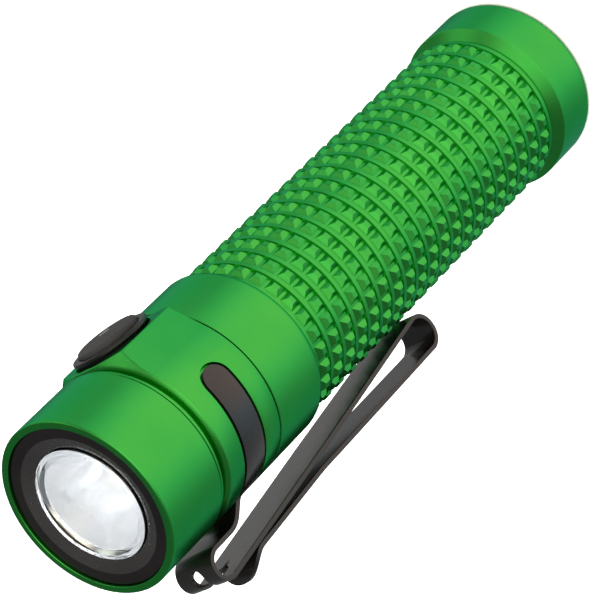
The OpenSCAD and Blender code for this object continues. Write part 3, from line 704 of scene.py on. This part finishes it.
def thread_tree():
    """Sweeps a ridge along a helix."""
    tree, given, result = new_tree("neck_thread", [
        ("Radius", "Float"), ("Turns", "Float"), ("Height", "Float"), ("Depth", "Float"),
        ("Material", "Material")])
    nodes, links, value = tree.nodes, tree.links, given.outputs
    spiral = nodes.new("GeometryNodeCurveSpiral")
    spiral.inputs["Resolution"].default_value = 96
    for socket in ("Start Radius", "End Radius"):
        links.new(value["Radius"], spiral.inputs[socket])
    links.new(value["Turns"], spiral.inputs["Rotations"])
    links.new(value["Height"], spiral.inputs["Height"])
    ridge = nodes.new("GeometryNodeCurvePrimitiveCircle")
    ridge.inputs["Resolution"].default_value = 4
    links.new(value["Depth"], ridge.inputs["Radius"])
    sweep = nodes.new("GeometryNodeCurveToMesh")
    sweep.inputs["Fill Caps"].default_value = True
    links.new(spiral.outputs["Curve"], sweep.inputs["Curve"])
    links.new(ridge.outputs["Curve"], sweep.inputs["Profile Curve"])
    real = nodes.new("GeometryNodeRealizeInstances")
    links.new(sweep.outputs["Mesh"], real.inputs["Geometry"])
    paint = nodes.new("GeometryNodeSetMaterial")
    links.new(real.outputs["Geometry"], paint.inputs["Geometry"])
    links.new(value["Material"], paint.inputs["Material"])
    links.new(paint.outputs["Geometry"], result.inputs["Geometry"])
    return tree


thread = bpy.data.objects.new("neck_thread", bpy.data.meshes.new("neck_thread"))
scene.collection.objects.link(thread)
run_tree(thread, thread_tree(), {
    "Radius": neck_core_r * MM, "Turns": THREAD_TURNS, "Height": THREAD_TURNS * THREAD_PITCH * MM,
    "Depth": THREAD_DEPTH * MM, "Material": green})
for vertex in thread.data.vertices:
    vertex.co.z += (z_neck + THREAD_LEAD) * MM
settle(thread, "head", None)

# %% [markdown]
# The bezel is a plain green ring with a rounded rim.
# Inside it sits a black ring with a flat and a slope, and then the lens.
# All three are turned, and their small radii show as the fine bright lines between green, black and glass.

# %% Bezel and black ring
TRIM_R = head_r - 0.95
trim_slope_r, lens_r = TRIM_R - 1.5, TRIM_R - 3.15
z_trim, z_pocket = trim_high.z, trim_low.z
bezel_mid_r, bezel_in_r = TRIM_R - 0.75, spigot_r + FIT
z_bezel_edge, z_step = z_bezel + 0.06, z_spigot + 0.02
turned("bezel_turned", [
    (bezel_in_r, z_bezel_edge), (head_r, z_bezel_edge, 0.16), (head_r, z_rim, 0.28), (TRIM_R, z_rim, 0.12),
    (TRIM_R, z_pocket), (bezel_mid_r, z_pocket), (bezel_mid_r, z_step), (bezel_in_r, z_step),
], green, "head", "bezel")
trim_r, trim_in_r = TRIM_R - 0.03, lens_r + 0.1
trim = turned("trim_ring_turned", [
    (trim_r, z_pocket), (trim_r, z_trim, 0.18), (trim_slope_r, z_trim, 0.10),
    (trim_in_r, z_trim - 0.6, 0.08), (trim_in_r, z_pocket),
], gloss_black, "head", "trim_ring")
# The slope takes the second finish, whose lighter base colour is a painted reflection.
trim.data.materials.append(slope_black_painted_reflection)
for face in trim.data.polygons:
    if math.hypot(*face.center.xy) < trim_slope_r * MM:
        face.material_index = 1

# %% [markdown]
# The lens is a moulded clear optic. Its front is a disc with a low rim,
# and behind it a smooth cone throws the light forward.
# That cone works as a mirror, so it is made as a silvery bowl under a clear plate:
# the eye sees the same soft white depth.

# %% Lens finishes
clear = finish("lens_clear", (0.945, 0.965, 0.985), (0.96, 0.975, 0.99), 0.0, (0.0, 0.03), 3000, 0.0,
               Transmission_Weight=1.0, IOR=1.49)
silver = finish("lens_cone", (0.78, 0.79, 0.81), (0.84, 0.85, 0.87), 0.35, (0.14, 0.24), 2500, 0.02,
                patch=400.0)
frost = finish("lens_foot", (0.86, 0.87, 0.88), (0.92, 0.93, 0.93), 0.0, (0.35, 0.5), 4000, 0.05,
               patch=500.0)
print("lens finishes", [made.name for made in (clear, silver, frost)])

# %% The lens
z_lens = lens_high.z
rim_in_r = lens_r - 0.62
z_disc, z_plate = z_lens - 0.42, z_pocket - 0.03
turned("tir_lens_plate", [
    (0, z_disc), (rim_in_r - 0.5, z_disc, 0.3), (rim_in_r, z_lens, 0.1), (lens_r, z_lens, 0.22),
    (lens_r, z_plate), (0, z_plate),
], clear, "head", "tir_lens")
bowl_top_r, bowl_foot_r = lens_r - 0.14, 2.75
z_bowl_top, z_bowl_foot = z_pocket - 0.08, lens_low.z + 0.25
BOWL_STEPS, BOWL_CURVE, BOWL_WALL = 24, 0.72, (0.12, -0.02)
bowl = []
for i in range(BOWL_STEPS + 1):
    t = i / BOWL_STEPS
    r = bowl_foot_r + (bowl_top_r - bowl_foot_r) * t ** BOWL_CURVE
    bowl.append(Vector((r, z_bowl_foot + (z_bowl_top - z_bowl_foot) * t)))
bowl_loop = bowl + [p + Vector(BOWL_WALL) for p in reversed(bowl)]
bowl_points, bowl_faces = turn_points(bowl_loop)
settle(piece("tir_lens_cone", bowl_points, bowl_faces, silver, sharp=50), "head", None)
foot_r = bowl_foot_r - FIT
turned("tir_lens_foot", [
    (0, z_bowl_foot + 1.7), (1.7, z_bowl_foot + 1.5, 0.4),
    (foot_r, z_bowl_foot + 0.1), (foot_r, z_bowl_foot), (0, z_bowl_foot),
], frost, "head", None)

# %% [markdown]
# The button is a soft dark cap with an upright side and a low crown, inside a black ring that sits in the flat.
# The ring's flange stands a little off the flat, so a fine dark line parts them.
# Both are turned about the button's own axis, which points sideways out of the head.

# %% Button and ring
ring_r, ring_in_r = (ring_high.x - ring_low.x) / 2, 4.1
ring_top, ring_foot = -ring_low.y, -ring_high.y
button_r, button_top = 4.0, -button_low.y
crown = 0.4
side_top = button_top - crown
flange_low = 10.35
flange_high, flange_r = flange_low + 0.35, button_r + 0.6
stem_r = ring_r - 0.32
crown_r = (button_r ** 2 + crown ** 2) / (2 * crown)
turned("button_ring_turned", [
    (ring_in_r, ring_foot), (stem_r, ring_foot), (stem_r, FLAT_D + 0.08, 0.08), (ring_r, FLAT_D + 0.38, 0.12),
    (ring_r, ring_top, 0.25), (ring_in_r + 0.1, ring_top - 0.02, 0.1), (ring_in_r, ring_top - 0.2),
], satin_black, "head", "button_ring", on_button_axis)
window_r, window_depth = 0.8, 0.8
crown_edge_r, CROWN_STEPS = button_r - 0.25, 11
cap = [(0, button_top - window_depth), (window_r, button_top - window_depth)]
for i in range(CROWN_STEPS + 1):
    r = window_r + (crown_edge_r - window_r) * i / CROWN_STEPS
    cap.append((r, button_top - crown_r + math.sqrt(crown_r ** 2 - r ** 2)))
cap += [
    (button_r, side_top - 0.04, 0.22), (button_r, flange_high), (flange_r, flange_high),
    (flange_r, flange_low), (0, flange_low),
]
turned("button_cap", cap, silicone, "button", "button", on_button_axis)

# %% [markdown]
# The clip is one strip of spring steel: a collar round the head, a neck, a tight bend, a blade,
# a loop and an outer blade with a turned-up lip.
# It is laid out as a thin sheet along its path, then Solidify gives the thickness and Bevel breaks the edges.
# The sheet is split at the rear loop into two pieces.

# %% The clip's path
CLIP_T, CLIP_HALF, LOOP_HALF = 0.55, 3.3, 2.8
BAND_R = head_r - CLIP_T / 2
NECK_Y, BEND_R = head_r + 1.5, 2.025
CLIP_LEN, PATH_STEPS, HAIR = 51.0, 24, 0.001
z_front = z_collar + 10.05
z_loop = z_front - CLIP_LEN
TOP_Y = NECK_Y + 2 * BEND_R
SPLIT_Y = NECK_Y + BEND_R
loop_low, loop_mid, loop_high, LOOP_R = 11.275, 13.726, 15.926, 2.1
blade_bend = BEND_R * math.tan(math.atan2(z_front - z_loop, TOP_Y - loop_low) / 2)


def blade_y(z):
    """How far out the inner blade's middle lies at a height."""
    return TOP_Y - (TOP_Y - loop_low) * (z_front - z) / (z_front - z_loop)


z_foot = z_collar + 0.3
inner_path = rounded([
    (BAND_R, z_foot), (BAND_R + 0.02, z_collar + 0.82, 1.7), (NECK_Y, z_collar + 3.7, 5.0),
    (NECK_Y, z_front, BEND_R - HAIR), (TOP_Y, z_front, blade_bend - HAIR),
    (loop_low, z_loop, LOOP_R), (loop_mid, z_loop),
], closed=False, steps=PATH_STEPS, hold=0)

CLOSE = CLIP_T + 0.12
LIP_TURN, LIP_R, LEAN_R = math.radians(72), 3.4, 30.0
z_pinch = z_front - 8.1
lean = Vector((loop_high, z_front - 22.3))
pinch = Vector((blade_y(z_pinch) + CLOSE, z_pinch))
reach = LIP_R * math.tan(LIP_TURN / 2)
knee = pinch + (pinch - lean).normalized() * reach
lip_angle = math.atan2(pinch.x - lean.x, pinch.y - lean.y) + LIP_TURN
tip = knee + Vector((math.sin(lip_angle), math.cos(lip_angle))) * (reach + 0.1)
outer_path = rounded([
    (loop_mid, z_loop), (loop_high, z_loop, LOOP_R), (*lean, LEAN_R), (*knee, LIP_R), tuple(tip),
], closed=False, steps=PATH_STEPS, hold=0)


def lengths(path):
    """The length along a path at each of its points."""
    run = [0.0]
    for a, b in zip(path, path[1:]):
        run.append(run[-1] + (b - a).length)
    return run


def along(path, run, u):
    """The path's point at length u."""
    for i in range(1, len(path)):
        if u <= run[i] or i == len(path) - 1:
            t = (u - run[i - 1]) / max(run[i] - run[i - 1], 1e-9)
            return path[i - 1].lerp(path[i], t)


print("clip: inner path %.1f mm, outer path %.1f mm" % (lengths(inner_path)[-1], lengths(outer_path)[-1]))

# %% Helpers for the clip's sheets
SIDE_STEPS = 6
ROW_MIN, ROW_MAX = 0.02, 1.2
TAPER = 25.5
EDGE_ROUND, SHARP = 0.13, 50


def stations(path, extra=()):
    """Lengths at which the sheet has a row: the path's own points, none too far apart."""
    run = lengths(path)
    rows = list(run) + list(extra)
    rows = sorted(u for u in rows if 0 <= u <= run[-1])
    fine = [rows[0]]
    for u in rows[1:]:
        gap = u - fine[-1]
        if gap < ROW_MIN:
            continue
        parts = math.ceil(gap / ROW_MAX)
        fine += [fine[-1] + gap * (k + 1) / parts for k in range(parts)]
    fine[-1] = run[-1]
    return run, fine


def strip_half(z):
    """Half width of the strip: it tapers from the clip's middle to the loop."""
    t = min(1.0, max(0.0, (z - z_loop) / TAPER))
    return LOOP_HALF + (CLIP_HALF - LOOP_HALF) * t


def strip_rows(sheet, path, rows, run, half, hole, drop):
    """Adds the strip's rows: a left and a right half that meet in the middle, unless a hole parts them."""
    previous = None
    for u in rows:
        y, z = along(path, run, u)
        wide, gap = half(u, z), hole(u)
        halves = []
        for side in (-1, 1):
            xs = [side * (wide + (gap - wide) * k / SIDE_STEPS) for k in range(SIDE_STEPS + 1)]
            halves.append(sheet.add([(x, y - drop(u, x), z) for x in xs]))
        if previous:
            sheet.bridge(previous[0], halves[0], closed=False)
            sheet.bridge(halves[1], previous[1], closed=False)
        previous = halves


def clip_piece(name, sheet):
    """Gives a sheet the strip's thickness and soft edges."""
    made = piece(name, sheet.points, sheet.faces, gunmetal, sharp=SHARP)
    wall = made.modifiers.new("thickness", "SOLIDIFY")
    wall.thickness, wall.offset, wall.use_even_offset = CLIP_T * MM, 0.0, True
    edge = made.modifiers.new("edge", "BEVEL")
    edge.width, edge.segments = EDGE_ROUND * MM, 3
    edge.limit_method, edge.angle_limit = "ANGLE", math.radians(SHARP)
    bpy.context.view_layer.update()
    mesh = bpy.data.meshes.new_from_object(made.evaluated_get(bpy.context.evaluated_depsgraph_get()))
    made.modifiers.clear()
    made.data = mesh
    mesh.shade_smooth()
    mesh.set_sharp_from_angle(angle=math.radians(SHARP))
    return made


print("the strip is %.1f mm wide and %.1f mm at the loop" % (2 * CLIP_HALF, 2 * LOOP_HALF))

# %% [markdown]
# The first sheet has the collar, the neck, the front bend with its slot for a lanyard, and the inner blade.
# A hole cut with a boolean would leave ragged faces on a thin sheet, so the strip is laid in two halves
# that part where the slot is. The foot of the neck keeps the collar's curve and flattens as it rises.

# %% Collar, neck and blade
SLOT_HALF, SLOT_BACK, SLOT_DOWN, COLLAR_FADE = 1.05, 0.95, 3.2, 4.5
inner = Sheet()
inner_run = lengths(inner_path)
u_slot = next(u for u, p in zip(inner_run, inner_path) if p.x > SPLIT_Y - SLOT_BACK and p.y > z_front - 3)


def length_at(path, run, z, start):
    """Length, after start, at which the path passes the height z."""
    for a, b, u, v in zip(path, path[1:], run, run[1:]):
        if u >= start and (a.y - z) * (b.y - z) <= 0:
            return u + (v - u) * (a.y - z) / (a.y - b.y)


u_slot_end = length_at(inner_path, inner_run, z_front - SLOT_DOWN - SLOT_HALF, u_slot)
slot_rows = []
for a in round_steps(10):
    slot_rows += [u_slot + SLOT_HALF * (1 - math.cos(a)), u_slot_end - SLOT_HALF * (1 - math.cos(a))]
inner_run, inner_rows = stations(inner_path, slot_rows)


def slot_gap(u):
    """Half width of the lanyard slot at length u."""
    reach = min(u - u_slot, u_slot_end - u)
    if reach <= 1e-6:
        return 0.0
    return SLOT_HALF if reach >= SLOT_HALF else math.sqrt(SLOT_HALF ** 2 - (SLOT_HALF - reach) ** 2)


def collar_drop(u, x):
    """How far the neck still follows the collar's curve at width x."""
    keep = max(0.0, 1 - u / COLLAR_FADE)
    return keep * keep * (3 - 2 * keep) * (BAND_R - math.sqrt(BAND_R ** 2 - x * x))


strip_rows(inner, inner_path, inner_rows, inner_run, lambda u, z: strip_half(z), slot_gap, collar_drop)


def collar_sheet():
    """The collar's band: upright columns with round ends, open above the foot of the neck."""
    half = COLLAR_W / 2
    foot = z_foot - z_collar
    angles = []
    for a in round_steps(12):
        angles.append((90 - COLLAR_REACH - math.degrees(half * math.cos(a) / BAND_R), half * math.sin(a)))
    xs = [CLIP_HALF * (1 - k / SIDE_STEPS) for k in range(SIDE_STEPS + 1)]
    neck = [math.degrees(math.acos(x / BAND_R)) for x in xs]
    start = angles[-1][0]
    count = 46
    angles += [(start + (neck[0] - start) * i / count, half) for i in range(1, count)]
    angles += [(a, half) for a in neck]
    mirrored = [(180 - a, h) for a, h in reversed(angles[:-1])]
    columns = []
    for a, h in angles + mirrored:
        turn = math.radians(a)
        x, y = BAND_R * math.cos(turn), BAND_R * math.sin(turn)
        level = [-h, min(foot, h * foot / half), h]
        columns.append((abs(x) <= CLIP_HALF + 1e-6, inner.add([(x, y, z_collar + z) for z in level])))
    for (in_a, a), (in_b, b) in zip(columns, columns[1:]):
        inner.bridge(a[:2], b[:2], closed=False)
        if not (in_a and in_b):
            inner.bridge(a[1:], b[1:], closed=False)


collar_sheet()
clip_inner = clip_piece("clip_inner", inner)


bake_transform(clip_inner)
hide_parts("clip_collar", "clip_blade")
print("clip_inner:", len(clip_inner.data.polygons), "faces")

# %% [markdown]
# The second sheet is the outer blade, from the rear loop to the lip that lets a pocket's edge slide in.
# Its end is round, so the rows near the tip get narrower along a circle.

# %% Outer blade
outer = Sheet()
outer_total = lengths(outer_path)[-1]
LIP_ROUND = 3.2
lip_rows = [outer_total - LIP_ROUND * (1 - math.sin(a)) for a in round_steps(8)]
outer_run, outer_rows = stations(outer_path, lip_rows)


def outer_half(u, z):
    """Half width of the outer blade: the strip's, rounded off towards the tip."""
    wide = strip_half(z)
    left = outer_total - u
    if left < LIP_ROUND:
        wide -= LIP_ROUND - math.sqrt(max(0.0, LIP_ROUND ** 2 - (LIP_ROUND - left) ** 2))
    return wide


strip_rows(outer, outer_path, outer_rows, outer_run, outer_half, lambda u: 0.0, lambda u, x: 0.0)
clip_outer = clip_piece("clip_outer_blade", outer)
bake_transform(clip_outer)
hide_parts("clip_outer")
print("clip_outer_blade:", len(clip_outer.data.polygons), "faces")

# %% [markdown]
# The pieces inside keep their CAD shape: cell, boards, contacts, seals, spring and magnet.
# They show only when the light is opened or seen from behind, and each gets a finish of its own material.

# %% Finishes of the inner pieces
INNER_FINISHES = [
    ("seal_rubber", (0.012, 0.012, 0.012), (0.02, 0.02, 0.02), 0.0, (0.5, 0.65), 5000, 0.15),
    ("nickel", (0.62, 0.61, 0.58), (0.70, 0.69, 0.66), 1.0, (0.16, 0.28), 4000, 0.03),
    ("black_plastic", (0.015, 0.015, 0.015), (0.025, 0.025, 0.025), 0.0, (0.4, 0.55), 5000, 0.1),
    ("emitter", (0.85, 0.62, 0.12), (0.90, 0.72, 0.20), 0.0, (0.25, 0.4), 6000, 0.05, (1, 1, 1), 900.0),
    ("bare_aluminium", (0.80, 0.80, 0.79), (0.86, 0.86, 0.85), 0.0, (0.35, 0.5), 4000, 0.05),
    ("screw_steel", (0.40, 0.40, 0.41), (0.48, 0.48, 0.49), 1.0, (0.25, 0.38), 5000, 0.05),
    ("copper_wire", (0.60, 0.27, 0.13), (0.70, 0.34, 0.18), 1.0, (0.25, 0.4), 5000, 0.05),
    ("circuit_board", (0.010, 0.085, 0.035), (0.015, 0.11, 0.045), 0.0, (0.3, 0.45), 3000, 0.08),
    ("brass_contact", (0.75, 0.52, 0.20), (0.82, 0.60, 0.26), 1.0, (0.18, 0.3), 5000, 0.03),
    ("indicator", (0.11, 0.11, 0.115), (0.15, 0.15, 0.155), 0.0, (0.2, 0.3), 5000, 0.02),
    ("cell_wrap", (0.012, 0.020, 0.055), (0.018, 0.028, 0.075), 0.0, (0.25, 0.35), 1500, 0.05),
    ("cell_washer", (0.70, 0.70, 0.66), (0.78, 0.78, 0.74), 0.0, (0.6, 0.8), 6000, 0.1),
]
inner_finish = {row[0]: finish(*row) for row in INNER_FINISHES}
slots = {s["node"]: s["material_slot"] for s in frame["record"]["subparts"]}
dressed = 0
for name, node in frame["nodes"].items():
    if node.hide_render:
        continue
    node.data.materials.clear()
    node.data.materials.append(inner_finish[slots[name]])
    dressed += 1
print("dressed", dressed, "inner pieces")

# %% [markdown]
# The stage is a plain pale floor, wide enough for every view.
# One area light from above lights it evenly and gives the tube a soft shadow.

# %% Floor
FLOOR_HALF = 4.0
pale = finish("floor", (0.90, 0.90, 0.90), (0.91, 0.91, 0.91), 0.0, (0.85, 0.95), 40, 0.0, patch=2.0)
floor_corners = [(x * FLOOR_HALF, y * FLOOR_HALF, 0) for x, y in ((-1, -1), (1, -1), (1, 1), (-1, 1))]
floor_mesh = bpy.data.meshes.new("floor")
floor_mesh.from_pydata(floor_corners, [], [(0, 1, 2, 3)])
floor_mesh.materials.append(pale)
floor = bpy.data.objects.new("floor", floor_mesh)
scene.collection.objects.link(floor)
print("floor %.0f m wide" % (2 * FLOOR_HALF))

# %% [markdown]
# Satin metal shows the room round it, so the room is painted on the world by direction:
# soft-edged papers and lamps on a grey ground, each of which becomes a broad band along the tube.
# Area lights could stand there too, but painted ones need no place and leave no hard outline in the gloss.
# The floor and the area light are kept out of reflections, because both would whiten the dark clip.


# %% Lights
def towards(azimuth, elevation):
    """A direction from its angles in degrees."""
    a, e = math.radians(azimuth), math.radians(elevation)
    return (math.cos(e) * math.cos(a), math.cos(e) * math.sin(a), math.sin(e))


world = bpy.data.worlds.new("studio")
scene.world = world
world.use_nodes = True
sky, sky_links = world.node_tree.nodes, world.node_tree.links
where = sky.new("ShaderNodeTexCoord").outputs["Generated"]
glow = None
SOFT_BOXES = [
    ("paper in front", towards(196, -42), (0.15, 1.0), (0.72, 0.95, 1.00)),
    ("warm lamp in front", towards(196, -42), (0.72, 1.0), (1.30, 1.03, 0.86)),
    ("paper at the left", towards(310, -20), (0.80, 0.87), (0.56, 0.55, 0.53)),
    ("paper at the right", towards(70, -38), (0.60, 1.0), (0.36, 0.37, 0.37)),
    ("paper above the button", towards(284, 26), (0.90, 0.99), (0.85, 0.88, 0.76)),
    ("key above", towards(200, 36), (0.60, 0.97), (1.45, 1.30, 1.05)),
]
ROOM = (0.17, 0.18, 0.18)
for label, direction, edge, colour in SOFT_BOXES:
    facing = sky.new("ShaderNodeVectorMath")
    facing.operation = "DOT_PRODUCT"
    facing.inputs[1].default_value = direction
    sky_links.new(where, facing.inputs[0])
    fade = sky.new("ShaderNodeMapRange")
    fade.interpolation_type = "SMOOTHSTEP"
    fade.inputs["From Min"].default_value, fade.inputs["From Max"].default_value = edge
    sky_links.new(facing.outputs["Value"], fade.inputs["Value"])
    mix = sky.new("ShaderNodeMix")
    mix.label, mix.data_type = label, "RGBA"
    sky_links.new(fade.outputs["Result"], mix.inputs["Factor"])
    if glow is None:
        mix.inputs["A"].default_value = (*ROOM, 1)
    else:
        sky_links.new(glow, mix.inputs["A"])
    mix.inputs["B"].default_value = (*colour, 1)
    glow = mix.outputs["Result"]
sky_links.new(glow, sky["Background"].inputs["Color"])

TOP_AT, TOP_TARGET, TOP_SIZE, TOP_POWER = Vector((0.1, 0.05, 1.0)), Vector((0.05, 0, 0)), 1.0, 24.0
top_data = bpy.data.lights.new("top", "AREA")
top_data.shape, top_data.size, top_data.energy = "SQUARE", TOP_SIZE, TOP_POWER
top_light = bpy.data.objects.new("top", top_data)
top_light.location = TOP_AT
top_light.rotation_euler = (TOP_TARGET - TOP_AT).to_track_quat("-Z", "Y").to_euler()
scene.collection.objects.link(top_light)
floor.visible_glossy = False
top_light.visible_glossy = False

# %% [markdown]
# The camera stands where the photographer stood: in front of the light and turned on its side.
# Its long lens keeps the tube's sides nearly parallel, as they are in the photograph.

# %% Camera
camera_data = bpy.data.cameras.new("camera")
camera_data.sensor_width, camera_data.lens = 36.0, 204.0
camera = bpy.data.objects.new("camera", camera_data)
camera.location = (-0.290428, -0.071336, 0.328535)
camera.rotation_euler = Euler([math.radians(a) for a in (-37.6752, 31.2913, 137.7579)], "XYZ")
scene.collection.objects.link(camera)
scene.camera = camera
scene.view_settings.view_transform = "Standard"
scene.cycles.use_denoising = True
print("camera %.3f m from the tail" % camera.location.length)
